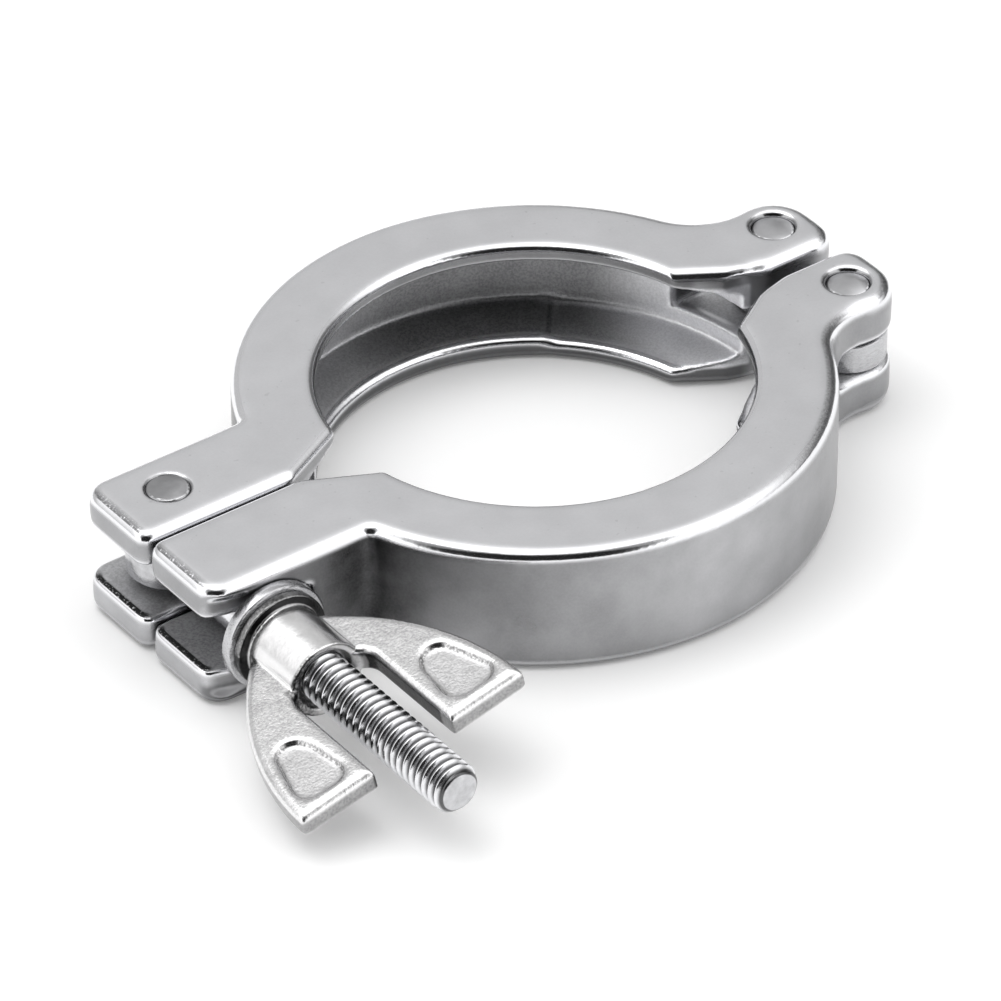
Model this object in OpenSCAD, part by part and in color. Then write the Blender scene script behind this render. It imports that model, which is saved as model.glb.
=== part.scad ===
// Vacuum flange clamp. Two cast halves are joined by a double hinge and drawn
// together by a swing bolt with a wing nut. A wedge groove inside them presses
// the rims of two vacuum flanges together.
// Sizes are in millimetres. Z is the axis of the flanges and z = 0 is the middle
// of the clamp's height. +X points to the hinge and -X to the closure. The half
// on +Y carries the swing bolt, and the nut bears on the half on -Y.

/* [Ring] */
// Radius of the opening inside the lips
bore_radius = 24.8; // [23:0.2:26]
// Radius of the wall at the bottom of the groove
groove_radius = 31.3; // [30:0.1:33]
// Half the height of the groove at that wall
groove_half_height = 4.1; // [3.6:0.1:4.4]
// Slope of the groove's sides in degrees
groove_slope = 15; // [12:1:18]
// Wall behind the groove
ring_wall = 3; // [2.6:0.1:4]
// Height of the clamp along the flange axis
clamp_height = 16; // [15:0.5:19]
// Radius of the rounded outer edges
outer_edge = 1.3; // [0.8:0.1:1.6]
// Radius of the rounded edges of the opening
bore_edge = 0.9; // [0.5:0.1:1.1]
// Radius of the edge between a lip and the groove
lip_edge = 0.6; // [0.3:0.1:0.8]
// How much higher the lower side of the groove is away from the hinge
flank_step = 0.4; // [0.2:0.1:0.6]
// Angle from the hinge at which it rises
flank_step_angle = 50; // [40:5:60]

/* [Closure] */
// Distance from the flange axis to the end faces of the tabs
tab_reach = 53.3; // [52:0.1:56]
// Distance from the parting plane to the outer faces of the tabs
tab_half_width = 12.6; // [12.2:0.1:14]
// Gap between the closed tabs
closure_gap = 0.6; // [0.4:0.1:1]
// Radius of the outer corners of the tabs, seen from above
tab_corner = 2.8; // [2.2:0.1:3.4]
// Radius of the corners beside the gap, seen from above
gap_corner = 1.8; // [1.5:0.1:2.2]
// Distance from the tabs' end faces back to the bolt and the closure pin
closure_pin_inset = 7.7; // [7.3:0.1:8.1]
// Distance from the parting plane to the closure pin
closure_pin_y = 6.5; // [6.2:0.1:6.8]
// Diameter of the closure pin
closure_pin_diameter = 5; // [4:0.1:5.4]
// Height of the slot that the swing bolt lies in
bolt_slot_height = 7; // [6.6:0.1:7.6]
// Radius of the small blend between a tab and the ring
tab_blend = 1.2; // [0.8:0.1:2]
// Distance from the flange axis to where the parting faces turn inwards
closure_bevel_x = 33.2; // [32.6:0.1:33.8]
// Run along X of the parting faces from there to within the opening
closure_bevel_run = 14; // [13.6:0.2:14.4]
// Rise of the parting faces over that run
closure_bevel_rise = 7; // [6.8:0.1:7.2]

/* [Hinge] */
// Distance from the flange axis to the hinge pins along X
hinge_pin_x = 39.4; // [39.2:0.1:40]
// Distance from the parting plane to each hinge pin
hinge_pin_y = 6.95; // [6.8:0.05:7.2]
// Diameter of the hinge pins
hinge_pin_diameter = 5; // [4:0.1:5.4]
// Radius of the lugs round the hinge pins
lug_radius = 5.1; // [4.8:0.1:5.4]
// Radius of the lugs' corners beside the gap
lug_corner = 2.8; // [2.7:0.1:3.2]
// Radius of the hollow between a lug and the ring
lug_blend = 8; // [6:0.5:10]
// Gap between the two lugs
hinge_gap = 2.1; // [1.6:0.1:2.4]
// Distance along X from each hinge pin to where the parting faces turn inwards
hinge_bevel_inset = 5; // [4.8:0.1:5.2]
// Slope of those faces in degrees
hinge_bevel_slope = 17.9; // [17:0.1:19]
// Length of that slope, after which they turn further to the opening
hinge_bevel_length = 5.4; // [5:0.1:5.8]
// Slope of the last stretch in degrees
hinge_bevel_steep_slope = 32.2; // [31:0.1:33]
// Height of the slots that the link lies in
link_slot_height = 4; // [3.6:0.1:4.6]
// How far each link slot reaches from the parting plane
link_slot_reach = 12.5; // [12.3:0.1:13]
// Room above and below the link in its slots
link_play = 0.2; // [0.1:0.05:0.3]
// Radius of the link's ends
link_radius = 4.7; // [4.4:0.1:4.8]
// Depth of the hinge pins below the faces of the lugs
hinge_pin_recess = 0.5; // [0.3:0.1:0.8]

/* [Swing bolt] */
// Diameter of the bolt over its thread
bolt_diameter = 5.9; // [5.5:0.1:6]
// Distance from the closure pin to the end of the bolt
bolt_length = 54.6; // [50:0.1:58]
// Outer diameter of the bolt's eye
eye_diameter = 10; // [9:0.1:10.4]
// Thickness of the bolt's eye
eye_thickness = 5; // [4.4:0.1:6]
// Bevel at the end of the bolt
bolt_bevel = 0.8; // [0.4:0.1:1]

/* [Washer and wing nut] */
// Outer diameter of the washer
washer_diameter = 12.8; // [12:0.1:13]
// Thickness of the washer
washer_thickness = 1.5; // [1:0.1:2]
// Diameter of the flange of the nut
nut_flange_diameter = 11.6; // [10.8:0.1:12]
// Thickness of that flange
nut_flange_thickness = 1.1; // [0.8:0.1:1.5]
// Diameter of the nut's hub
hub_diameter = 9.2; // [8.6:0.1:9.6]
// Height of the hub from the washer to its end
hub_height = 9.5; // [9:0.1:11]
// Distance across the tips of the two wings
wing_span = 30.2; // [28:0.1:32]
// Height of the wings from the washer to their tips
wing_height = 25.8; // [24:0.1:28]
// Thickness of the wings
wing_thickness = 3.3; // [2.8:0.1:3.6]
// Radius of the wings' outer edge, seen from the front
wing_sweep = 33; // [31:0.5:36]
// Gap between the inner edges of the wings
wing_gap = 10.4; // [9.8:0.1:11]
// Height of the hollows in the wings
pocket_height = 8.8; // [8:0.1:9.6]
// Rim between the hollows and the edges of the wings
pocket_rim = 1.8; // [1.6:0.1:2.2]
// Depth of the hollows
pocket_depth = 0.7; // [0.4:0.1:0.9]
// Turn of the wings from level in degrees
wing_tilt = 13; // [0:1:40]

/* [Fits] */
// Room all round a pin in a part that turns on it
running_fit = 0.05; // [0.02:0.01:0.08]
// Room all round a pin in the lugs that hold it
holding_fit = 0.02; // [0.01:0.01:0.03]
// Room all round the bolt in the washer
washer_fit = 0.3; // [0.2:0.05:0.5]
// Gap that is left between the washer and what it bears on
seat_gap = 0.1; // [0.05:0.05:0.15]
// Room round the bolt's eye at the inner end of its slot
eye_room = 0.8; // [0.5:0.1:1]

/* [Hidden] */
$fn = 96;

ring_radius = groove_radius + ring_wall;
half_height = clamp_height / 2;
half_gap = closure_gap / 2;
half_hinge_gap = hinge_gap / 2;
// Long enough to reach over the whole clamp from its middle
all_round = 2 * tab_reach;
// How far a cutter reaches past what it cuts
past = 1;
// Half the width of the stretch that the tab shares with the ring
tab_middle = tab_half_width / 2;
tab_root = groove_radius - past;
closure_pin_x = tab_reach - closure_pin_inset;
closure_pin = [-closure_pin_x, closure_pin_y];
hinge_pin = [hinge_pin_x, hinge_pin_y];
closure_pin_radius = closure_pin_diameter / 2;
hinge_pin_radius = hinge_pin_diameter / 2;
eye_radius = eye_diameter / 2;
bolt_radius = bolt_diameter / 2;
// The nut side's face that the washer would swing along is round about the
// closure pin, at this distance from it
seat_radius = closure_pin_y + tab_half_width;
washer_y = -tab_half_width - seat_gap;
nut_y = washer_y - washer_thickness;
// Corners that the parting faces turn at, and points within the opening that
// they lead to
closure_turn = [-closure_bevel_x, half_gap];
closure_inner = closure_turn + [closure_bevel_run, closure_bevel_rise];
hinge_turn = [hinge_pin_x - hinge_bevel_inset, half_hinge_gap];
hinge_steep_turn = hinge_turn - hinge_bevel_length * direction(-hinge_bevel_slope);
hinge_inner = hinge_steep_turn - ring_radius / 2 * direction(-hinge_bevel_steep_slope);
mitre = 5;
// Blends sink this far into what they run into, so that no two faces just touch
seam = 0.02;
// The bevels' edges are a little finer, so that the edges don't all meet in one point
bevel_edge = outer_edge - 0.2;
cutter_depth = 8;
wing_edge = 1.1;
notch_corner = 2.4;
notch_edge = 0.8;
pocket_corner = 2;
hub_mouth = 0.8;
pocket_taper = 1.8;

function lifted(point, z) = [point.x, point.y, z];

function direction(angle) = [cos(angle), sin(angle)];

// Half the section of a slab with rounded edges, from its middle out to reach
module rounded_section(reach, height, edge) {
    translate([0, -height / 2]) square([reach - edge, height]);
    translate([0, edge - height / 2]) square([reach, height - 2 * edge]);
    for (side = [-1, 1]) intersection() {
        translate([reach - edge, side * (height / 2 - edge)]) circle(edge);
        translate([0, -height]) square([reach, 2 * height]);
    }
}

// Half the section of a cutter that leaves rounded edges on what it cuts
module flared_section(reach, height, edge) {
    translate([0, -height / 2 - past]) square([reach, height + 2 * past]);
    for (side = [0, 1]) mirror([0, side]) difference() {
        translate([reach - past, height / 2 - edge]) square([edge + past, edge + past]);
        translate([reach + edge, height / 2 - edge]) circle(edge);
    }
}

module rounded_disc(radius, height, edge) {
    rotate_extrude() rounded_section(radius, height, edge);
}

module flared_disc(radius, height, edge) {
    rotate_extrude() flared_section(radius, height, edge);
}

// Both bars run along +X, and their shaped side faces +Y
module rounded_bar(length, reach, height, edge) {
    rotate([90, 0, 90]) linear_extrude(length) rounded_section(reach, height, edge);
}

module flared_bar(length, reach, height, edge) {
    rotate([90, 0, 90]) linear_extrude(length) flared_section(reach, height, edge);
}

// Cuts off what lies to the right of the way between two points
module parting_cut(from, to, edge) {
    way = to - from;
    translate(lifted(from, 0)) rotate(atan2(way.y, way.x))
        translate([-mitre, -cutter_depth, 0])
            flared_bar(norm(way) + 2 * mitre, cutter_depth, clamp_height, edge);
}

// Centre of a circle of radius blend that touches two circles from outside
function blend_centre(a, a_radius, b, b_radius, blend) =
    let (apart = norm(b - a), to_a = a_radius + blend, to_b = b_radius + blend,
         along = (apart * apart + to_a * to_a - to_b * to_b) / (2 * apart),
         aside = sqrt(to_a * to_a - along * along), way = (b - a) / apart)
    a + along * way + aside * [-way.y, way.x];

// Half the section of the wedge groove, on +Z, with its lip's edge rounded. Its
// wall is flank high, and room is added behind the wall and inside the lip
module groove_side(flank, room) {
    lip = bore_radius + room;
    wall = groove_radius + room;
    lip_flank = flank + (wall - lip) * tan(groove_slope);
    round_z = lip_flank - lip_edge * tan(groove_slope) + lip_edge / cos(groove_slope);
    round_centre = [lip + lip_edge - seam, round_z - seam];
    polygon([[0, 0], [wall, 0], [wall, flank], [0, flank + wall * tan(groove_slope)]]);
    difference() {
        polygon([[lip - past, round_z], round_centre,
                 round_centre - 2 * lip_edge * [sin(groove_slope), cos(groove_slope)],
                 [lip - past, lip_flank - 2 * lip_edge]]);
        translate(round_centre) circle(lip_edge);
    }
}

// The opening and the wedge groove, whose lower side is higher by step
module seat_section(step, room) {
    flared_section(bore_radius + room, clamp_height, bore_edge);
    groove_side(groove_half_height + room, room);
    mirror([0, 1]) groove_side(groove_half_height + room - step, room);
}

// The tab on +Y before it is parted and slotted
module tab() {
    corner = [-tab_reach + tab_corner, tab_half_width - tab_corner];
    translate([corner.x, tab_middle, 0])
        rounded_bar(tab_reach - tab_corner - tab_root, tab_half_width - tab_middle, clamp_height, outer_edge);
    translate([-tab_root, -past, -half_height]) mirror([1, 0, 0])
        cube([tab_reach - tab_corner - tab_root, tab_middle + past, clamp_height]);
    translate([corner.x, -past, 0]) rotate(90)
        rounded_bar(corner.y + past, tab_corner, clamp_height, outer_edge);
    translate(lifted(corner, 0)) rounded_disc(tab_corner, clamp_height, outer_edge);
}

// Fills the corner between the tab and the ring
module tab_root_blend() {
    centre = [-sqrt(pow(ring_radius + tab_blend, 2) - pow(tab_half_width + tab_blend, 2)),
              tab_half_width + tab_blend];
    inner = centre * (groove_radius / norm(centre));
    difference() {
        translate([0, 0, -half_height]) linear_extrude(clamp_height)
            polygon([centre, [centre.x, tab_middle], [inner.x, tab_middle], inner]);
        translate(lifted(centre, 0)) flared_disc(tab_blend + seam, clamp_height, outer_edge);
    }
}

// The lug on +Y and its neck, before it is parted and slotted. Its end is round
// about the pin and runs straight down to a rounded corner beside the gap
module lug() {
    centre = blend_centre([0, 0], ring_radius, hinge_pin, lug_radius, lug_blend);
    corner = [hinge_pin_x + lug_radius - lug_corner, half_hinge_gap + lug_corner - seam];
    translate(lifted(hinge_pin, 0)) rounded_disc(lug_radius, clamp_height, outer_edge);
    translate(lifted(corner, 0)) rounded_disc(lug_corner, clamp_height, outer_edge);
    translate([hinge_pin_x, hinge_pin_y, 0]) rotate(-90)
        rounded_bar(hinge_pin_y - corner.y, lug_radius, clamp_height, outer_edge);
    translate([groove_radius, -past, -half_height])
        cube([corner.x - groove_radius, corner.y + past, clamp_height]);
    difference() {
        translate([0, 0, -half_height]) linear_extrude(clamp_height)
            polygon([centre * (groove_radius / norm(centre)), centre, hinge_pin,
                     [hinge_pin_x, 0], [groove_radius, 0]]);
        translate(lifted(centre, 0)) flared_disc(lug_blend + seam, clamp_height, outer_edge);
    }
}

// Rounds the upright edge at the end of the gap between the tabs
module gap_corner_cut() {
    corner = [-tab_reach, half_gap];
    difference() {
        translate([corner.x - past, corner.y - past, -half_height - past])
            cube([gap_corner + past, gap_corner + past, clamp_height + 2 * past]);
        translate([corner.x + gap_corner, corner.y + gap_corner, 0])
            rounded_disc(gap_corner + seam, clamp_height + 2 * seam, outer_edge);
    }
}

// One cast half, on +Y
module half_casting() {
    difference() {
        union() {
            rounded_disc(ring_radius, clamp_height, outer_edge);
            tab();
            tab_root_blend();
            lug();
        }
        translate([-all_round, half_gap - past / 2 - all_round, -clamp_height])
            cube([2 * all_round, all_round, 2 * clamp_height]);
        parting_cut([-tab_reach, half_gap], closure_turn, outer_edge);
        parting_cut(closure_turn, closure_inner, bevel_edge);
        parting_cut(hinge_inner, hinge_steep_turn, outer_edge);
        parting_cut(hinge_steep_turn, hinge_turn, bevel_edge);
        parting_cut(hinge_turn, [hinge_pin_x + lug_radius, half_hinge_gap], outer_edge);
        gap_corner_cut();
        rotate_extrude() seat_section(flank_step, 0);
        // Beside the hinge the groove is cut again without the step
        rotate(flank_step_angle - 90) rotate_extrude(angle = 90) seat_section(0, seam);
        // Slot for the swing bolt
        translate([-tab_reach - past, -past, -bolt_slot_height / 2])
            cube([tab_reach + past - closure_pin_x + eye_radius + eye_room,
                  tab_half_width + 2 * past, bolt_slot_height]);
        // Slot for the hinge link
        translate([bore_radius, -past, -link_slot_height / 2])
            cube([hinge_pin_x + lug_radius - bore_radius + past, link_slot_reach + past, link_slot_height]);
        // Hinge pin's hole, wider where the pin lies below the face
        translate(lifted(hinge_pin, 0)) {
            cylinder(h = clamp_height + past, r = hinge_pin_radius + holding_fit, center = true);
            for (side = [0, 1]) mirror([0, 0, side]) translate([0, 0, half_height - hinge_pin_recess])
                cylinder(h = hinge_pin_recess + past, r = hinge_pin_radius + hinge_pin_recess / 2);
        }
    }
}

module half_bolt_side() {
    color("lightsteelblue") difference() {
        half_casting();
        translate(lifted(closure_pin, 0))
            cylinder(h = clamp_height + past, r = closure_pin_radius + holding_fit, center = true);
    }
}

// The face under the washer is round about the closure pin, so that the bolt
// can swing out with the washer just clear of it
module half_nut_side() {
    seat_height = washer_diameter + 2 * seat_gap;
    color("lightsteelblue") difference() {
        mirror([0, 1, 0]) half_casting();
        difference() {
            translate([-tab_reach - past, -tab_half_width - past, -seat_height / 2])
                cube([tab_reach + past - closure_pin_x, tab_corner + past, seat_height]);
            translate(lifted(closure_pin, 0)) cylinder(h = clamp_height, r = seat_radius, center = true);
        }
    }
}

module hinge_link() {
    thickness = link_slot_height - 2 * link_play;
    color("silver") difference() {
        union() {
            for (side = [-1, 1])
                translate([hinge_pin_x, side * hinge_pin_y, 0])
                    cylinder(h = thickness, r = link_radius, center = true);
            translate([hinge_pin_x - link_radius, -hinge_pin_y, -thickness / 2])
                cube([2 * link_radius, 2 * hinge_pin_y, thickness]);
        }
        for (side = [-1, 1])
            translate([hinge_pin_x, side * hinge_pin_y, 0])
                cylinder(h = thickness + past, r = hinge_pin_radius + running_fit, center = true);
    }
}

module hinge_pin_at(side) {
    color("gray") translate([hinge_pin_x, side * hinge_pin_y, 0])
        cylinder(h = clamp_height - 2 * hinge_pin_recess, r = hinge_pin_radius, center = true);
}

module hinge_pin_bolt_side() {
    hinge_pin_at(1);
}

module hinge_pin_nut_side() {
    hinge_pin_at(-1);
}

module closure_pin() {
    color("gray") translate(lifted(closure_pin, 0))
        cylinder(h = clamp_height, r = closure_pin_radius, center = true);
}

module swing_bolt() {
    shank = bolt_length - bolt_bevel;
    color("silver") translate(lifted(closure_pin, 0)) difference() {
        union() {
            cylinder(h = eye_thickness, r = eye_radius, center = true);
            rotate([90, 0, 0]) {
                cylinder(h = shank, r = bolt_radius);
                translate([0, 0, shank])
                    cylinder(h = bolt_bevel, r1 = bolt_radius, r2 = bolt_radius - bolt_bevel);
            }
        }
        cylinder(h = bolt_diameter + past, r = closure_pin_radius + running_fit, center = true);
    }
}

module washer() {
    color("silver") translate([-closure_pin_x, washer_y, 0]) rotate([90, 0, 0]) difference() {
        cylinder(h = washer_thickness, r = washer_diameter / 2);
        translate([0, 0, -past])
            cylinder(h = washer_thickness + 2 * past, r = bolt_radius + washer_fit);
    }
}

// The wing on +X lies in the XY plane, and +Y leads from the washer to its tip
module wing() {
    tip = wing_span / 2;
    intersection() {
        translate([tip - wing_sweep, wing_height, 0]) rounded_disc(wing_sweep, wing_thickness, wing_edge);
        translate([0, 0, -wing_thickness]) cube([wing_span, wing_height + past, 2 * wing_thickness]);
        translate([-past, 0, 0]) rounded_bar(wing_span, wing_height, wing_thickness, wing_edge);
    }
}

// The space between the wings
module wing_notch() {
    base = hub_height + notch_corner;
    side = wing_gap / 2 - notch_corner;
    for (turn = [0, 1]) mirror([turn, 0, 0]) {
        translate([side, base, 0]) flared_disc(notch_corner, wing_thickness, notch_edge);
        translate([0, wing_height + past, 0]) rotate(-90)
            flared_bar(wing_height + past - base, wing_gap / 2, wing_thickness, notch_edge);
    }
    translate([-side, base, 0]) mirror([0, 1, 0])
        flared_bar(2 * side, notch_corner, wing_thickness, notch_edge);
}

// The hollow is narrower at its lower end, as the wing is
module pocket_outline() {
    inner = wing_gap / 2 + pocket_rim + pocket_corner;
    outer = wing_span / 2 - pocket_rim - pocket_corner;
    top = wing_height - pocket_rim - pocket_corner;
    low = top - pocket_height + 2 * pocket_corner;
    low_outer = [outer - pocket_taper, low + pocket_taper / 3];
    low_inner = [inner + pocket_taper / 2, low];
    hull() for (corner = [[inner, top], [outer, top], low_outer, low_inner])
        translate(corner) circle(pocket_corner, $fn = 32);
}

// The nut stands on z = 0 and is turned about Z before it is laid along the bolt
module wing_nut() {
    hub_radius = hub_diameter / 2;
    thread_radius = bolt_radius + running_fit;
    color("whitesmoke") translate([-closure_pin_x, nut_y, 0]) rotate([0, -wing_tilt, 0])
        rotate([90, 0, 0]) difference() {
        union() {
            rotate([90, 0, 0]) difference() {
                for (turn = [0, 1]) mirror([turn, 0, 0]) wing();
                wing_notch();
                for (turn = [0, 1], face = [0, 1]) mirror([turn, 0, 0]) mirror([0, 0, face])
                    translate([0, 0, wing_thickness / 2 - pocket_depth])
                        linear_extrude(pocket_depth + past) pocket_outline();
            }
            cylinder(h = nut_flange_thickness, r = nut_flange_diameter / 2);
            cylinder(h = hub_height, r = hub_radius);
        }
        translate([0, 0, -past]) cylinder(h = hub_height + 2 * past, r = thread_radius);
        translate([0, 0, hub_height - hub_mouth])
            cylinder(h = hub_mouth + past, r1 = thread_radius, r2 = thread_radius + hub_mouth + past);
    }
}

half_bolt_side();
half_nut_side();
hinge_link();
hinge_pin_bolt_side();
hinge_pin_nut_side();
closure_pin();
swing_bolt();
washer();
wing_nut();
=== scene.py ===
# %% [markdown]
# # A hinged flange clamp
# The real clamp is investment cast in stainless steel, tumbled until it shines,
# and closed by a swing bolt with a wing nut. The CAD model gives its moving
# bodies and their exact places. This lesson dresses those bodies: it softens the
# castings, rolls the thread, and mixes a steel finish for each kind of part.

# %% Load the frame
import math

import bmesh
import bpy
from mathutils import Matrix, Vector


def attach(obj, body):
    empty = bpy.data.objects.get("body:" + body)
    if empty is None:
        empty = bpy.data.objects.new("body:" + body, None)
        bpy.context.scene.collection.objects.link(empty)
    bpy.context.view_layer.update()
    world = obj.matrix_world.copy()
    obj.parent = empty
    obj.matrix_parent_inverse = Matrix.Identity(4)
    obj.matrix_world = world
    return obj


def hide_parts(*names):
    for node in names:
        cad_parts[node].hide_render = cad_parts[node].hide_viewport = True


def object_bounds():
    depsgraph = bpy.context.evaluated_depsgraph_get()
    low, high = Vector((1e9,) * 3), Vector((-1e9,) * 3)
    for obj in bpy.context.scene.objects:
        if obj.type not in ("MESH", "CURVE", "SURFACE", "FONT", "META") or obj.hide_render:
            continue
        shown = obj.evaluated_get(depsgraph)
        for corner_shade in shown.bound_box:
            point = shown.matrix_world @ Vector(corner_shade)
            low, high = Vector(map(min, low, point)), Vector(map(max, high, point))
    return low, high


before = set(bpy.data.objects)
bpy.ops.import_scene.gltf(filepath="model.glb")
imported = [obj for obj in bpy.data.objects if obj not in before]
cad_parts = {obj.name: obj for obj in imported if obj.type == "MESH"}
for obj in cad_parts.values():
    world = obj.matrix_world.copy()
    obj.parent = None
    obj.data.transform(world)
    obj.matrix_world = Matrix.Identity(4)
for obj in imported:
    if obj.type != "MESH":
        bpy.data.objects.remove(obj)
cad_low, cad_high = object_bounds()
MM = 0.001
print("CAD box in mm:", [round((high - low) / MM, 2) for low, high in zip(cad_low, cad_high)])

# %% [markdown]
# The finishes and the wear below follow places on the clamp. They are given here
# once, in millimetres, as the CAD model has them. +X points to the hinge, and
# the bolt runs along -Y.

# %% Places on the clamp
bolt_x, closure_pin_y = -45.6, 6.5
hinge_pin_x, hinge_pin_y = 39.4, 6.95
pin_places = ((hinge_pin_x, hinge_pin_y), (hinge_pin_x, -hinge_pin_y), (bolt_x, closure_pin_y))
tab_half_width = 12.6
nut_foot_y, bolt_tip_y = -14.2, -48.1
bolt_radius, thread_start = 2.95, -10.0
wing_tilt_degrees, flank_step_degrees = 13, 50
print("pins at", pin_places)

# %% [markdown]
# ## The camera
# A product photograph like this is taken from well back with a long lens, so
# that the ring keeps its true shape. Blender gives a lens in millimetres on a
# 36 mm sensor. The clamp doesn't sit in the middle of the picture, and a small
# lens shift moves the frame without turning the camera.

# %% Camera
camera_azimuth, camera_elevation = math.radians(-36.57), math.radians(36.05)
camera_distance = 906.4 * MM
towards_camera = Vector((
    math.sin(camera_azimuth) * math.cos(camera_elevation),
    -math.cos(camera_azimuth) * math.cos(camera_elevation),
    math.sin(camera_elevation),
))
lens = bpy.data.cameras.new("long_lens")
lens.sensor_width = 36
lens.lens = 288.2
lens.shift_x, lens.shift_y = -0.0345, -0.0714
lens.clip_start, lens.clip_end = 0.05, 30
camera = bpy.data.objects.new("camera", lens)
bpy.context.scene.collection.objects.link(camera)
camera.location = towards_camera * camera_distance
camera.rotation_euler = (-towards_camera).to_track_quat("-Z", "Y").to_euler()
bpy.context.scene.camera = camera
print("camera at", [round(c, 3) for c in camera.location])

# %% [markdown]
# ## Sums with sockets
# A finish is a graph of nodes, and most of its nodes are sums. Written out node
# by node they hide the idea, so a small class wraps a socket and lets Python's
# own operators add the Math nodes. The graph's one `add` method makes every
# other node: it sets what the node is, then what goes into its sockets.

# %% A graph and its values
class Value:
    """A socket that can take part in sums."""

    def __init__(self, graph, socket):
        self.graph, self.socket = graph, socket

    def maths(self, operation, *others):
        return self.graph.add("ShaderNodeMath", {"operation": operation}, self, *others)

    def __add__(self, other):
        return self.maths("ADD", other)

    def __sub__(self, other):
        return self.maths("SUBTRACT", other)

    def __mul__(self, other):
        return self.maths("MULTIPLY", other)

    def __truediv__(self, other):
        return self.maths("DIVIDE", other)

    def __rsub__(self, other):
        return self.graph.add("ShaderNodeMath", {"operation": "SUBTRACT"}, other, self)

    __radd__, __rmul__ = __add__, __mul__

    def __abs__(self):
        return self.maths("ABSOLUTE")

    def fraction(self):
        return self.maths("FRACT")

    def at_least(self, other):
        return self.maths("MAXIMUM", other)

    def at_most(self, other):
        return self.maths("MINIMUM", other)

    def rise(self, start, end):
        """0 up to start and 1 from end, with a soft step between them."""
        soft = {"interpolation_type": "SMOOTHSTEP"}
        return self.graph.add("ShaderNodeMapRange", soft, self, start, end)


class Graph:
    """A node tree that is filled by sums and by add()."""

    def __init__(self, tree):
        self.tree = tree
        tree.nodes.clear()

    def add(self, kind, settings={}, *values, output=0, **named):
        """A node of that kind. Values go into its first sockets, and named ones by socket name."""
        node = self.tree.nodes.new(kind)
        for key, value in settings.items():
            setattr(node, key, value)
        for number, value in enumerate(values):
            self.feed(node.inputs[number], value)
        for name, value in named.items():
            self.feed(node.inputs[name.replace("_", " ")], value)
        return Value(self, node.outputs[output]) if node.outputs else node

    def dot(self, first, second):
        """How far the first vector goes along the second."""
        return self.add("ShaderNodeVectorMath", {"operation": "DOT_PRODUCT"}, first, second, output=1)

    def feed(self, socket, value):
        if isinstance(value, Value):
            self.tree.links.new(value.socket, socket)
        elif value is not None:
            socket.default_value = value


print("graphs are ready")

# %% [markdown]
# ## Studio
# Polished steel has no colour of its own: it shows the room. A clamp like this is
# shot on white paper between large soft lights, with one more overhead. The wall
# behind is grey. Round the camera the room is dimmer, and low down on that side it
# is nearly black. That low patch gives the short black streaks in the rounded
# edges that face the camera. Without it the metal would look like plaster. A low
# dark strip at the back right does the same over there. The world's colour is
# worked out from the direction, and the paper is a plain disc.

# %% World and lights
scene = bpy.context.scene
scene.view_settings.view_transform = "Standard"
world = bpy.data.worlds.new("studio")
world.use_nodes = True
scene.world = world
room = Graph(world.node_tree)
direction = room.add("ShaderNodeTexCoord")
height = room.add("ShaderNodeSeparateXYZ", {}, direction, output=2)
camera_right = Vector((math.cos(camera_azimuth), math.sin(camera_azimuth), 0))
nearness = room.dot(direction, towards_camera)
dark_elevation = math.radians(17)
dark_bearing = towards_camera.xy.normalized() * math.cos(dark_elevation)
dark_side = Vector((dark_bearing.x, dark_bearing.y, math.sin(dark_elevation)))
darkness = room.dot(direction, dark_side)
rightness = room.dot(direction, camera_right)
back_wall, lights = 0.59, 1.5
level = back_wall + (lights - back_wall) * nearness.rise(-0.15, 0.35)
level = level * (1 - 0.8 * nearness.rise(0.68, 0.80)) * (1 - 0.95 * darkness.rise(0.74, 0.83))
level = level + (lights - level) * height.rise(0.80, 0.92)
strip = (1 - height.rise(0.44, 0.58)) * rightness.rise(0.06, 0.24) * (1 - nearness.rise(-0.25, -0.05))
level = level * (1 - 0.75 * strip)
seen_by_camera = room.add("ShaderNodeLightPath")
level = level + (1 - level) * seen_by_camera
room_grey = room.add("ShaderNodeCombineColor", {}, level, level, level)
backdrop = room.add("ShaderNodeBackground", {}, room_grey, 1.0)
room.add("ShaderNodeOutputWorld", {}, backdrop)


def soft_light(name, place, side, power):
    """A square soft light that faces the clamp."""
    lamp = bpy.data.lights.new(name, "AREA")
    lamp.shape, lamp.size, lamp.energy = "SQUARE", side, power
    light = bpy.data.objects.new(name, lamp)
    scene.collection.objects.link(light)
    light.location = place
    light.rotation_euler = (-Vector(place)).to_track_quat("-Z", "Y").to_euler()


soft_light("overhead", (-0.25, 0.3, 1.0), 0.7, 2.5)

# %% Paper floor
floor_z = cad_low.z - 0.05 * MM
floor_radius = 6.0
paper_white, paper_lift = 0.93, 0.12
floor_mesh = bpy.data.meshes.new("paper")
shape = bmesh.new()
bmesh.ops.create_circle(shape, cap_ends=True, segments=96, radius=floor_radius,
                        matrix=Matrix.Translation((0, 0, floor_z)))
shape.to_mesh(floor_mesh)
shape.free()
floor = bpy.data.objects.new("paper", floor_mesh)
scene.collection.objects.link(floor)
paper = bpy.data.materials.new("white_paper")
paper.use_nodes = True
sheet = Graph(paper.node_tree)
matt = sheet.add("ShaderNodeBsdfDiffuse", {}, (paper_white, paper_white, paper_white, 1))
rays = sheet.add("ShaderNodeLightPath")
seen = sum((Value(sheet, rays.socket.node.outputs[name])
            for name in ("Is Camera Ray", "Is Glossy Ray", "Is Transmission Ray")), 0)
lift = sheet.add("ShaderNodeEmission", {}, (1, 1, 1, 1), seen * paper_lift)
paper_look = sheet.add("ShaderNodeAddShader", {}, matt, lift)
sheet.add("ShaderNodeOutputMaterial", {}, paper_look)
floor_mesh.materials.append(paper)
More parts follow.
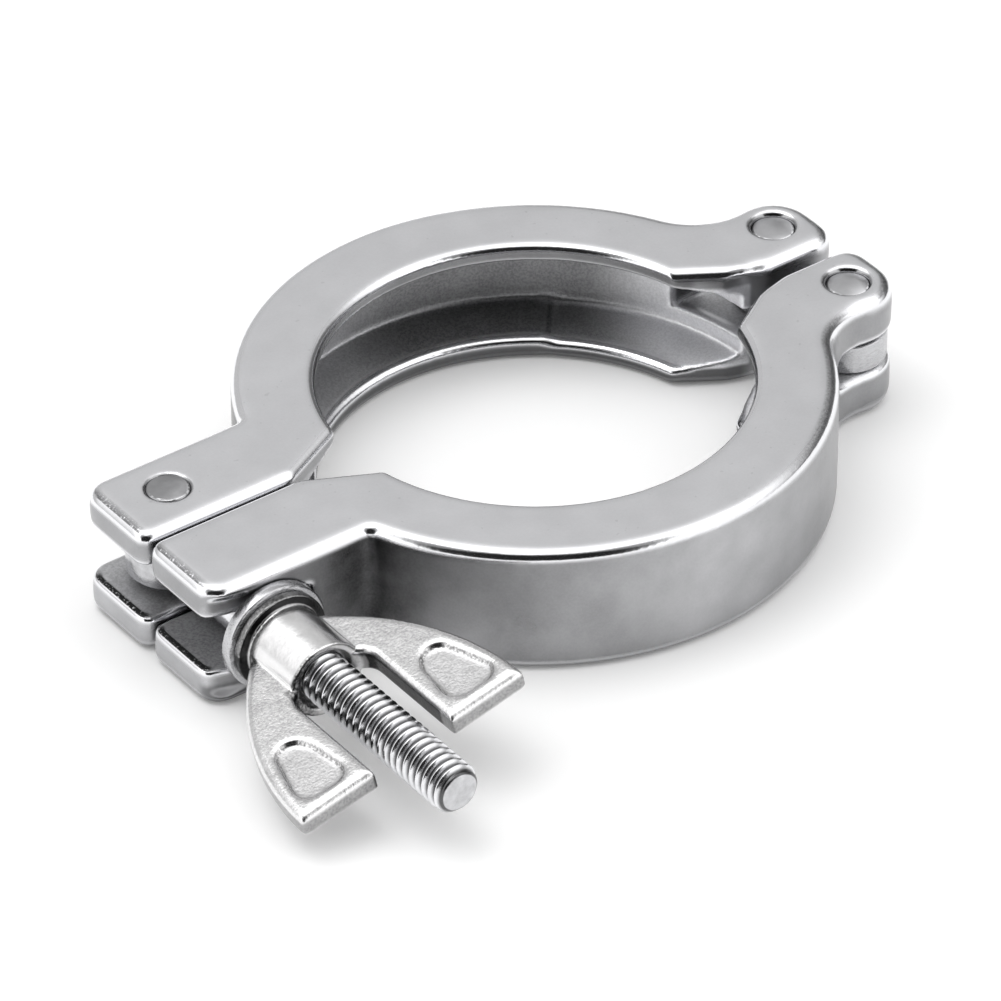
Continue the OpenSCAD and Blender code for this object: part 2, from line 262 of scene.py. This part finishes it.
print("paper at z =", round(floor_z / MM, 2), "mm")

# %% [markdown]
# ## Steel finishes
# Every part is stainless steel, but each was made differently. The finishes
# share one recipe: a metal whose lightness, roughness and tiny bumps come from
# masks in the part's own coordinates, in millimetres, so they stay put when
# the part moves. A mask is made of soft steps: x.rise(4, 20) is 0 up to 4 mm along
# X and 1 from 20 mm on, and a product of steps is the place where all of them hold.

# %% Steel recipe
class Steel(Graph):
    """A steel finish. Its place is in millimetres and its normal is the part's own."""

    def __init__(self, name):
        self.material = bpy.data.materials.new(name)
        self.material.use_nodes = True
        super().__init__(self.material.node_tree)
        own = self.add("ShaderNodeTexCoord", output=3)
        self.place = self.add("ShaderNodeVectorMath", {"operation": "SCALE"}, own, Scale=1 / MM)
        self.x, self.y, self.z = (self.part(self.place, axis) for axis in range(3))
        normal = self.add("ShaderNodeTexCoord", output=1)
        self.upness = self.part(normal, 2)
        self.lean = abs(self.upness)
        self.normal = normal

    def part(self, vector, axis):
        return self.add("ShaderNodeSeparateXYZ", {}, vector, output=axis)

    def length(self, *parts):
        """Length of the vector with these two or three parts."""
        joined = self.add("ShaderNodeCombineXYZ", {}, *parts)
        return self.add("ShaderNodeVectorMath", {"operation": "LENGTH"}, joined, output=1)

    def grain(self, size, detail=2.0, roughness=0.5, place=None):
        """Noise from 0 to 1 whose grains are about size millimetres across."""
        return self.add("ShaderNodeTexNoise", {}, Vector=place or self.place,
                        Scale=1 / size, Detail=detail, Roughness=roughness)

    def finish(self, lightness, roughness, bumps, tint=(0.975, 0.977, 1.0)):
        """Metal of that lightness from 0 to 1. Bumps are heights in millimetres."""
        colour = self.add("ShaderNodeCombineXYZ", {}, *[lightness * share for share in tint])
        relief = self.add("ShaderNodeBump", {}, Height=bumps, Distance=MM, Strength=1.0)
        metal = self.add("ShaderNodeBsdfPrincipled", {}, Base_Color=colour, Metallic=1.0,
                         Roughness=roughness, Normal=relief)
        self.add("ShaderNodeOutputMaterial", {}, metal)
        return self.material


print("steel recipe is ready")

# %% [markdown]
# ### The castings
# Tumbling with small stones wears a casting where they can reach. The rounded edges
# come out almost polished and the flat faces satin. The outer wall is painted shade,
# standing in for the dim room it reflects, with painted light on its lit side and its
# ends. The stones hardly touch the groove, which keeps the fine grain of the mould.
# The groove and the slot are darker, partly from that skin and partly painted shade.

# %% Cast steel
cast = Steel("tumbled_casting")
reach = cast.length(cast.x, cast.y, 0.0)
depth = abs(cast.z)
flat = cast.lean.rise(0.93, 0.995)
wall = 1 - cast.lean.rise(0.04, 0.3)
in_groove = (1 - reach.rise(31.9, 32.4)) * (1 - depth.rise(5.3, 5.9)) * reach.rise(25.6, 26.4)
in_slot = (1 - depth.rise(3.55, 3.8)) * cast.lean.rise(0.5, 0.9) * reach.rise(32.4, 33.0)
# Painted shade in the inside angle beside the tab, where the nut and tab block the light.
corner_shade = 1 - cast.length(abs(cast.x + 33.5), abs(cast.y) - tab_half_width, 0.0).rise(1.0, 12.0)
crevice = sum((1 - abs(cast.length(cast.x - px, cast.y - py, 0.0) - 2.6).rise(0.05, 0.3)
               for px, py in pin_places), 0).at_most(1)
blotches = cast.grain(5.0, 3.0)
pebbles = cast.grain(0.9, 2.0)
fine = cast.grain(0.16, 2.0, 0.6)
grit = cast.grain(0.3, 3.0, 0.7).rise(0.34, 0.66) - 0.5
specks = cast.grain(0.7, 1.0).rise(0.74, 0.78)
outside = 1 - in_groove.at_least(in_slot)
# Painted light: the wall is painted lighter where it faces the lights, most near x = 0 and less
# towards the hinge.
painted_lit_side = cast.x.rise(-20.0, 0.0) - 0.7 * cast.x.rise(4.0, 20.0)
end_face = 1 - cast.x.rise(-53.0, -51.5)
# Painted shade on faces that look down, close to the floor.
underside_shade = (1 - cast.upness.rise(-0.5, 0.2)) * (1 - cast.z.rise(-8.0, -4.5))
# Painted shade on the lower lip's bore wall and bottom edge, by the floor.
low_lip_shade = ((1 - reach.rise(31.0, 33.0)) * (1 - cast.z.rise(-5.8, -5.3))
           * (1 - cast.upness.rise(0.0, 0.4)))
# Painted shade on the upper lip's inner wall, towards the hinge.
high_lip_shade = ((1 - reach.rise(26.0, 27.0)) * cast.z.rise(2.0, 4.0) * (1 - cast.upness.rise(0.1, 0.4))
            * cast.x.rise(-12.0, 0.0))
# Painted shade, with more roughness, at the bottom of the near lower arm, so that it shows no bright
# reflection of the paper.
shaded_toe = (1 - cast.x.rise(-46.0, -42.0)) * (1 - cast.y.rise(-11.0, -9.5)) * (1 - cast.z.rise(-6.0, -5.0))
step_angle = math.radians(flank_step_degrees)
past_step = abs(cast.y) * math.cos(step_angle) - cast.x * math.sin(step_angle)
# Painted shadow along the step in the groove's flanks; the flank past the step is painted a little
# darker too.
step_shadow_line = 1 - abs(past_step).rise(0.1, 0.5)
flank = cast.lean.rise(0.5, 0.8)
# Painted shade on the outer wall, standing in for a dark reflection. It is painted lighter on the lit
# side and on the tab ends, the lower arms most, and darker in the inside angle by the tab.
painted_wall_shade = (0.56 - 0.14 * painted_lit_side + 0.22 * corner_shade
             - (0.20 - 0.13 * cast.z.rise(-2.0, 2.0)) * end_face)
# Painted light: the groove near the hinge is painted lighter, as if it reflects the lit paper, and is
# smoother there.
painted_light_by_hinge = (cast.x + 2.5 * flank).rise(22.7, 29.2)
# The groove is darker, partly from its as-cast skin and partly painted shade. It is painted lighter
# towards the tab and by the hinge.
groove_skin_and_shade = (0.52 - 0.20 * (1 - cast.x.rise(-8.0, 4.0)) - 0.50 * painted_light_by_hinge
               + flank * (0.06 * past_step.rise(-0.3, 0.3) + 0.12 * step_shadow_line))
hinge_half = cast.x.rise(-5.0, 5.0)
# The slot is darker, partly from its as-cast skin and partly painted shade. It is painted lighter on
# the hinge side and on the far tab.
slot_skin_and_shade = 0.42 - 0.24 * hinge_half - 0.14 * (1 - hinge_half) * cast.y.rise(0.0, 5.0)
end_edge = end_face * cast.lean.rise(0.78, 0.83) * (1 - cast.lean.rise(0.992, 0.999))
# A painted dark reflection along the top edges of the tab ends, broken up by the grain.
edge_reflection_line = end_edge * (grit + 0.5).rise(0.0, 0.2)
# Painted shade on the rounded top outer edge that faces the hinge.
faces_hinge = cast.part(cast.normal, 0).rise(0.05, 0.2)
rim_shade = (faces_hinge * cast.x.rise(6.0, 22.0) * cast.z.rise(4.0, 5.0)
            * cast.lean.rise(0.6, 0.75) * (1 - cast.lean.rise(0.985, 0.998)))
cast_lightness = ((0.86 - 0.08 * flat - outside * wall * painted_wall_shade
                   - groove_skin_and_shade * in_groove - slot_skin_and_shade * in_slot
                   - 0.5 * crevice - 0.75 * edge_reflection_line - 0.08 * specks * flat
                   + (blotches - 0.5) * (0.08 + 0.12 * wall)
                   + grit * (0.02 + 0.10 * in_groove + 0.12 * in_slot))
                  * (1 - 0.6 * underside_shade) * (1 - 0.6 * low_lip_shade) * (1 - 0.45 * high_lip_shade)
                  * (1 - 0.4 * shaded_toe) * (1 - (0.45 + 0.3 * grit) * rim_shade)).at_least(0.02)
cast_roughness = (0.15 + 0.20 * flat + 0.14 * wall
                  + (0.2 - 0.2 * painted_light_by_hinge * wall) * in_groove + 0.22 * in_slot
                  + 0.35 * shaded_toe + 0.1 * rim_shade + (blotches - 0.5) * 0.08).at_least(0.08)
cast_bumps = ((fine - 0.5) * (0.004 + 0.03 * in_groove + 0.03 * in_slot)
              + (pebbles - 0.5) * (0.006 + 0.03 * in_groove + 0.03 * in_slot))
cast_steel = cast.finish(cast_lightness, cast_roughness, cast_bumps)
print(cast_steel.name, len(cast_steel.node_tree.nodes), "nodes")

# %% [markdown]
# ### The nut's casting
# The wing nut is a small casting with a coarser mould skin. Its hub is rubbed
# bright, and its wings are a little duller. The ends and sides of the wings and the
# notches beside the bolt are painted shade, and so are the wing roots by the bolt,
# the base of the nut on the washer and the opening round the bolt. The edges of the
# hollows are darker, ragged with the grain.
# The wings are turned from level, so their masks use distances along and across them.

# %% Nut finish
wing_turn = math.radians(wing_tilt_degrees)
sweep_centre = (-17.9, 25.8)
nut = Steel("nut_casting")
nut_reach = nut.length(nut.x - bolt_x, nut.z, 0.0)
up_the_nut = nut_foot_y - nut.y
spanwise = (math.cos(wing_turn), 0, math.sin(wing_turn))
crosswise = (-math.sin(wing_turn), 0, math.cos(wing_turn))
from_axis = nut.add("ShaderNodeVectorMath", {"operation": "SUBTRACT"}, nut.place, (bolt_x, 0, 0))
span = abs(nut.dot(from_axis, spanwise))
height_over = abs(nut.dot(from_axis, crosswise))
faces_out = abs(nut.dot(nut.normal, crosswise))
on_wing = nut_reach.rise(4.65, 5.0)
from_sweep = nut.length(span - sweep_centre[0], up_the_nut - sweep_centre[1], 0.0)
within_rim = (span.rise(6.2, 6.8) * up_the_nut.rise(12.0, 13.5)
              * (1 - up_the_nut.rise(24.1, 24.5)) * (1 - from_sweep.rise(31.4, 31.9)))
hollow = on_wing * (1 - height_over.rise(1.3, 1.6)) * within_rim
hollow_floor = hollow * faces_out.rise(0.88, 0.99)
hollow_edge = hollow - hollow_floor
# Painted shade on the ends and sides of the wings.
shaded_wing_side = on_wing * (1 - faces_out.rise(0.1, 0.4)) * (1 - hollow)
# Painted shade in the notches beside the bolt.
notch_shade = (nut_reach.rise(4.2, 4.6) * (1 - faces_out.rise(0.4, 0.8)) * (1 - span.rise(5.8, 6.4))
              * up_the_nut.rise(8.6, 9.2) * (1 - up_the_nut.rise(23.0, 24.0)))
# Painted shade at the wing roots beside the bolt, made ragged by the grain.
root_shade = ((bolt_x - nut.x).rise(0.5, 2.5) * (1 - nut_reach.rise(5.2, 5.8))
              * up_the_nut.rise(8.9, 9.3))
# Painted shade at the base of the nut, between it and the washer.
foot_shade = nut_reach.rise(4.2, 4.6) * (1 - up_the_nut.rise(1.0, 1.6))
# Painted shade in the opening round the bolt.
mouth_shade = (1 - nut_reach.rise(3.4, 4.0)) * up_the_nut.rise(8.2, 8.8)
nut_blotches = nut.grain(2.2, 3.0)
nut_pebbles = nut.grain(0.3, 3.0, 0.6).rise(0.34, 0.66) - 0.5
nut_fine = nut.grain(0.12, 2.0, 0.6)
nut_lightness = (0.86 - 0.04 * on_wing - 0.13 * on_wing * faces_out.rise(0.9, 0.99)
                 - 0.46 * shaded_wing_side - 0.5 * notch_shade
                 - (0.28 + 0.6 * nut_pebbles) * hollow_edge - 0.12 * hollow_floor
                 - 0.55 * foot_shade - 0.5 * mouth_shade
                 - (0.5 + 0.5 * nut_pebbles) * root_shade
                 + (nut_blotches - 0.5) * 0.16 + nut_pebbles * (0.04 + 0.08 * on_wing)).at_least(0.03)
nut_roughness = 0.24 + 0.1 * hollow_floor + (nut_blotches - 0.5) * 0.12
nut_bumps = (nut_pebbles * (0.002 + 0.005 * on_wing + 0.006 * hollow_floor) + (nut_fine - 0.5) * 0.004
             + (nut_blotches - 0.5) * 0.05)
nut_steel = nut.finish(nut_lightness, nut_roughness, nut_bumps, (0.99, 0.985, 0.99))
print(nut_steel.name, len(nut_steel.node_tree.nodes), "nodes")

# %% [markdown]
# ### Turned and rolled parts
# The bolt, the pins, the link and the washer are made from bar and sheet. Bar stock
# is bright, with fine rings from the lathe. The roots of the thread are painted
# shade, so they are darker than its crests.

# %% Bolt, pin, link and washer finishes
bolt = Steel("rolled_bolt")
bolt_reach = bolt.length(bolt.x - bolt_x, bolt.z, 0.0)
crest = bolt_reach.rise(2.42, 2.8)
tip_face = 1 - (bolt.y - bolt_tip_y).rise(0.02, 0.1)
bolt_fine = bolt.grain(0.12, 2.0)
bolt_blotches = bolt.grain(0.9, 3.0)
eye = bolt.y.rise(-8.0, -6.0)
# The crests keep their lightness; the roots between them are painted shade.
unshaded_crest = crest * (0.95 + 0.5 * (bolt_blotches - 0.5) - 0.3 * eye) * (1 - tip_face)
sawn_tip = (0.46 + 0.4 * (bolt_blotches - 0.5)) * tip_face
bolt_steel = bolt.finish(0.12 + 0.74 * unshaded_crest + sawn_tip + (bolt_fine - 0.5) * 0.10,
                         0.30 - 0.12 * crest + (bolt_fine - 0.5) * 0.06,
                         (bolt_fine - 0.5) * 0.006 + (bolt_blotches - 0.5) * 0.02)

pin = Steel("turned_pin")
pin_fine = pin.grain(0.10, 2.0)
pin_blotches = pin.grain(1.2, 2.0)
pin_steel = pin.finish(0.42 + 0.20 * pin.x.rise(-5.0, 5.0) + (pin_blotches - 0.5) * 0.16,
                       0.30 + (pin_fine - 0.5) * 0.10,
                       (pin_fine - 0.5) * 0.006)

plate = Steel("sheet_steel")
along = plate.add("ShaderNodeMapping", {}, Vector=plate.place, Scale=(1.0, 9.0, 9.0))
streaks = plate.grain(1.6, 3.0, 0.6, along)
plate_steel = plate.finish(0.56 + (streaks - 0.5) * 0.3, 0.28 + (streaks - 0.5) * 0.14,
                           (streaks - 0.5) * 0.006)
print("nodes:", [len(m.node_tree.nodes) for m in (bolt_steel, pin_steel, plate_steel)])

# %% [markdown]
# ## Casting the halves
# A CAD solid arrives as loose triangles with sharp creases. A casting has none: metal and
# tumbling round off every edge a little. A copy is welded, remeshed into even
# small squares, and smoothed for a few steps. That softens only what is sharp,
# because smoothing hardly moves a face that is already even.

# %% Pieces from CAD nodes
def welded_copy(node):
    """A mesh of that CAD node with its loose triangles joined."""
    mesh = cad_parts[node].data.copy()
    mesh.materials.clear()
    shape = bmesh.new()
    shape.from_mesh(mesh)
    bmesh.ops.remove_doubles(shape, verts=shape.verts, dist=0.0005 * MM)
    shape.to_mesh(mesh)
    shape.free()
    return mesh


def add_object(name, mesh):
    piece = bpy.data.objects.new(name, mesh)
    scene.collection.objects.link(piece)
    return piece


def made_plain(piece):
    """The piece with its modifiers turned into plain mesh."""
    bpy.context.view_layer.update()
    evaluated = piece.evaluated_get(bpy.context.evaluated_depsgraph_get())
    mesh = bpy.data.meshes.new_from_object(evaluated)
    piece.modifiers.clear()
    piece.data = mesh
    mesh.shade_smooth()
    return piece


def weighted(piece, name, share_at):
    """A vertex group that holds share_at(point), with the point in millimetres."""
    group = piece.vertex_groups.new(name=name)
    for point in piece.data.vertices:
        share = share_at(point.co / MM)
        if share > 0:
            group.add([point.index], share, "REPLACE")
    return group.name


def softened(piece, grid, steps, worn=None, worn_steps=0, tumbled=None):
    """The piece remeshed into squares of grid millimetres and smoothed, more so where worn."""
    half_way = 0.5
    remesh = piece.modifiers.new("squares", "REMESH")
    remesh.mode, remesh.voxel_size = "VOXEL", grid * MM
    made_plain(piece)
    if worn:
        rub = piece.modifiers.new("worn", "SMOOTH")
        rub.factor, rub.iterations = half_way, worn_steps
        rub.vertex_group = weighted(piece, "worn", worn)
    smooth = piece.modifiers.new("tumbled", "SMOOTH")
    smooth.factor, smooth.iterations = half_way, steps
    if tumbled:
        smooth.vertex_group = weighted(piece, "tumbled", tumbled)
    made_plain(piece)
    piece.vertex_groups.clear()
    return piece


def dress(piece, body, slot, finish, *nodes):
    """Gives the piece its finish and its body, in place of those nodes. The slot is not used."""
    piece.data.materials.clear()
    piece.data.materials.append(finish)
    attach(piece, body)
    if nodes:
        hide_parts(*nodes)
    triangles = sum(len(p.vertices) - 2 for p in piece.data.polygons)
    print(piece.name, "rides", body, "with", triangles, "triangles")


# %% Where the halves are worn
def soft_step(value, start, end):
    """What rise() does, for a plain number."""
    share = min(max((value - start) / (end - start), 0), 1)
    return share * share * (3 - 2 * share)


def from_pin(point):
    """Distance from the axis of the nearest pin."""
    return min(math.hypot(point.x - px, point.y - py) for px, py in pin_places)


def tumbling(point):
    """The holes are drilled after tumbling, so their edges stay crisp."""
    return 0.25 + 0.75 * soft_step(from_pin(point), 3.3, 3.9)


def wear(point):
    """How far wear rounds the casting at this place, from 0 to 1."""
    azimuth = math.degrees(math.atan2(abs(point.y), point.x))
    reach = math.hypot(point.x, point.y)
    inside = (1 - soft_step(reach, 32.2, 33.0)) * (1 - soft_step(point.z, -2.0, 0.0))
    step = (1 - soft_step(abs(azimuth - flank_step_degrees), 1.5, 4.0)) * inside
    arms = soft_step(reach, 33.5, 35.0) * (1 - soft_step(abs(point.z), 4.6, 5.6))
    rims = (soft_step(reach, 31.5, 33.0) * soft_step(abs(point.z), 5.6, 6.6)
            * soft_step(from_pin(point), 3.6, 4.6))
    tabs = soft_step(-point.x, 33.0, 36.0) * (1 - soft_step(-point.x, 57.5, 58.5))
    low_lips = 0.4 * (1 - soft_step(reach, 26.2, 27.2)) * (1 - soft_step(point.z, -5.0, -3.0))
    return max(step, arms, low_lips, rims * (soft_step(point.x, 0.0, 18.0) + 0.25 * tabs))


def nut_wear(point):
    """The ends of the wings are rounded most, and the hollows are softened."""
    across = math.hypot(point.x - bolt_x, point.z)
    along = nut_foot_y - point.y
    from_sweep = math.hypot(across - sweep_centre[0], along - sweep_centre[1])
    ends = soft_step(along, 24.0, 25.2) * (0.15 + 0.65 * soft_step(across, 12.0, 14.5))
    hollows = (soft_step(across, 6.0, 6.8) * soft_step(along, 11.5, 13.0)
               * (1 - soft_step(from_sweep, 31.4, 32.2)))
    return max(ends, hollows)


# %% Both halves
for node, body in (("half_bolt_side", "bolt_half"), ("half_nut_side", "nut_half")):
    half = softened(add_object("cast_" + node, welded_copy(node)), grid=0.27, steps=10,
                    worn=wear, worn_steps=50, tumbled=tumbling)
    dress(half, body, "cast_body", cast_steel, node)

# %% [markdown]
# ## The wing nut
# The nut is the same kind of casting at a smaller scale, so it takes a finer grid.
# Smoothing also grows the small fillets where the wings leave the hub.

# %% Wing nut
wing_nut = softened(add_object("cast_wing_nut", welded_copy("wing_nut")), grid=0.14, steps=6,
                    worn=nut_wear, worn_steps=60)
dress(wing_nut, "nut", "nut_casting", nut_steel, "wing_nut")

# %% [markdown]
# ## The swing bolt
# The bolt's eye and neck are forged and its thread is rolled. The eye is
# a softened copy of the CAD solid, cut off where the thread begins.

# %% Bolt eye
eye_mesh = welded_copy("swing_bolt")
overlap = 0.5
shape = bmesh.new()
shape.from_mesh(eye_mesh)
cut = bmesh.ops.bisect_plane(
    shape, geom=shape.verts[:] + shape.edges[:] + shape.faces[:],
    plane_co=(0, (thread_start - overlap) * MM, 0), plane_no=(0, -1, 0), clear_outer=True)
rim = [e for e in cut["geom_cut"] if isinstance(e, bmesh.types.BMEdge)]
bmesh.ops.holes_fill(shape, edges=rim, sides=0)
shape.to_mesh(eye_mesh)
shape.free()
eye = softened(add_object("bolt_eye", eye_mesh), grid=0.15, steps=4)
dress(eye, "bolt", "bolt_steel", bolt_steel, "swing_bolt")

# %% [markdown]
# ## The rolled thread
# A thread follows one rule: its profile climbs one pitch in each turn. That suits
# Geometry Nodes. A flat grid is wrapped round the axis, and its rows are slanted
# by one pitch, so that every row runs along the helix and the crests stay
# sharp. At both ends the rows close in on the axis, which makes the flat faces.
# The pitch of 1.15 mm is the spacing of the crests in the photograph.

# %% Thread tree
def thread_tree():
    """A geometry tree whose named inputs are the thread's sizes."""
    tree = bpy.data.node_groups.new("rolled_thread", "GeometryNodeTree")
    graph = Graph(tree)
    sizes = {"Radius": bolt_radius, "Depth": 0.58, "Pitch": 1.15, "Length": 30.0, "Bevel": 0.8}
    tree.interface.new_socket("Geometry", in_out="INPUT", socket_type="NodeSocketGeometry")
    for name, value in sizes.items():
        socket = tree.interface.new_socket(name, in_out="INPUT", socket_type="NodeSocketFloat")
        socket.default_value = value
    tree.interface.new_socket("Material", in_out="INPUT", socket_type="NodeSocketMaterial")
    tree.interface.new_socket("Geometry", in_out="OUTPUT", socket_type="NodeSocketGeometry")
    entry = tree.nodes.new("NodeGroupInput")
    radius, depth, pitch, length, bevel = (Value(graph, entry.outputs[name]) for name in sizes)

    rows_a_pitch, around = 12, 60
    # Whole turns that keep the sum above zero ahead of the thread's start
    turns_below = 8
    root_share, flank_share = 0.2, 0.68
    ends = 2 * pitch
    rows = (length + ends + ends) / pitch * rows_a_pitch
    grid = graph.add("GeometryNodeMeshGrid", {}, 1.0, 1.0, rows + 1, around + 1)
    place = graph.add("GeometryNodeInputPosition")
    across = graph.add("ShaderNodeSeparateXYZ", {}, place, output=0) + 0.5
    turn = graph.add("ShaderNodeSeparateXYZ", {}, place, output=1) + 0.5
    row = across * (length + ends + ends) - ends
    climb = row + pitch * turn

    slope = abs((row / pitch + turns_below).fraction() * 2 - 1)
    profile = ((slope - root_share) / flank_share).at_least(0).at_most(1)
    run_out = climb.rise(0, pitch)
    outer = radius - depth * (1 - profile) * run_out
    outer = outer.at_most(radius - bevel + (length - climb).at_least(0))
    end_face = 1 - ((climb - length) / pitch).at_least(0).at_most(1)
    start_face = 1 - ((0 - climb) / pitch).at_least(0).at_most(1)
    spoke = outer * end_face * start_face
    angle = turn * math.tau
    wrapped = graph.add("ShaderNodeCombineXYZ", {}, spoke * angle.maths("COSINE"),
                        spoke * angle.maths("SINE"), climb.at_least(0).at_most(length))
    metres = graph.add("ShaderNodeVectorMath", {"operation": "SCALE"}, wrapped, Scale=MM)
    bent = graph.add("GeometryNodeSetPosition", {}, grid, Position=metres)
    closed = graph.add("GeometryNodeMergeByDistance", {}, bent, Distance=0.001 * MM)
    solid = graph.add("GeometryNodeRealizeInstances", {}, closed)
    steel = Value(graph, entry.outputs["Material"])
    dressed = graph.add("GeometryNodeSetMaterial", {}, solid, Material=steel)
    graph.add("NodeGroupOutput", {}, dressed)
    return tree


# %% Bolt thread
thread_length = thread_start - bolt_tip_y
thread = add_object("bolt_thread", bpy.data.meshes.new("bolt_thread"))
rolled = thread.modifiers.new("rolled", "NODES")
rolled.node_group = thread_tree()
inputs = {item.name: item.identifier for item in rolled.node_group.interface.items_tree
          if item.in_out == "INPUT"}
rolled[inputs["Length"]] = thread_length
rolled[inputs["Material"]] = bolt_steel
made_plain(thread)
laid_down = Matrix.Rotation(math.pi / 2, 4, "X")
thread.data.transform(Matrix.Translation((bolt_x * MM, thread_start * MM, 0)) @ laid_down)
shape = bmesh.new()
shape.from_mesh(thread.data)
bmesh.ops.recalc_face_normals(shape, faces=shape.faces)
shape.to_mesh(thread.data)
print("open edges in the thread:", sum(e.is_boundary for e in shape.edges))
shape.free()
dress(thread, "bolt", "bolt_steel", bolt_steel)
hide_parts("swing_bolt")

# %% [markdown]
# ## Pins, link and washer
# These are plain turned and stamped shapes, and their edges are broken by a small
# bevel. The Bevel modifier does that on a welded copy, once flat faces are whole.

# %% Bevelled parts
def bevelled(piece, width, segments=3):
    """The piece with its sharp edges rounded by width millimetres."""
    nearly_flat, sharp = math.radians(0.5), math.radians(40)
    shape = bmesh.new()
    shape.from_mesh(piece.data)
    bmesh.ops.dissolve_limit(shape, angle_limit=nearly_flat, verts=shape.verts, edges=shape.edges)
    shape.to_mesh(piece.data)
    shape.free()
    bevel = piece.modifiers.new("broken_edges", "BEVEL")
    bevel.width, bevel.segments, bevel.limit_method = width * MM, segments, "ANGLE"
    bevel.angle_limit = sharp
    bevel.harden_normals = True
    return made_plain(piece)


small_parts = (
    ("hinge_pin_bolt_side", "bolt_half", "pin_end", pin_steel, 0.25),
    ("hinge_pin_nut_side", "nut_half", "pin_end", pin_steel, 0.25),
    ("closure_pin", "bolt_half", "pin_end", pin_steel, 0.25),
    ("hinge_link", "link", "link_plate", plate_steel, 0.2),
    ("washer", "washer", "washer_steel", plate_steel, 0.2),
)
for node, body, slot, finish, width in small_parts:
    dress(bevelled(add_object("made_" + node, welded_copy(node)), width), body, slot, finish, node)
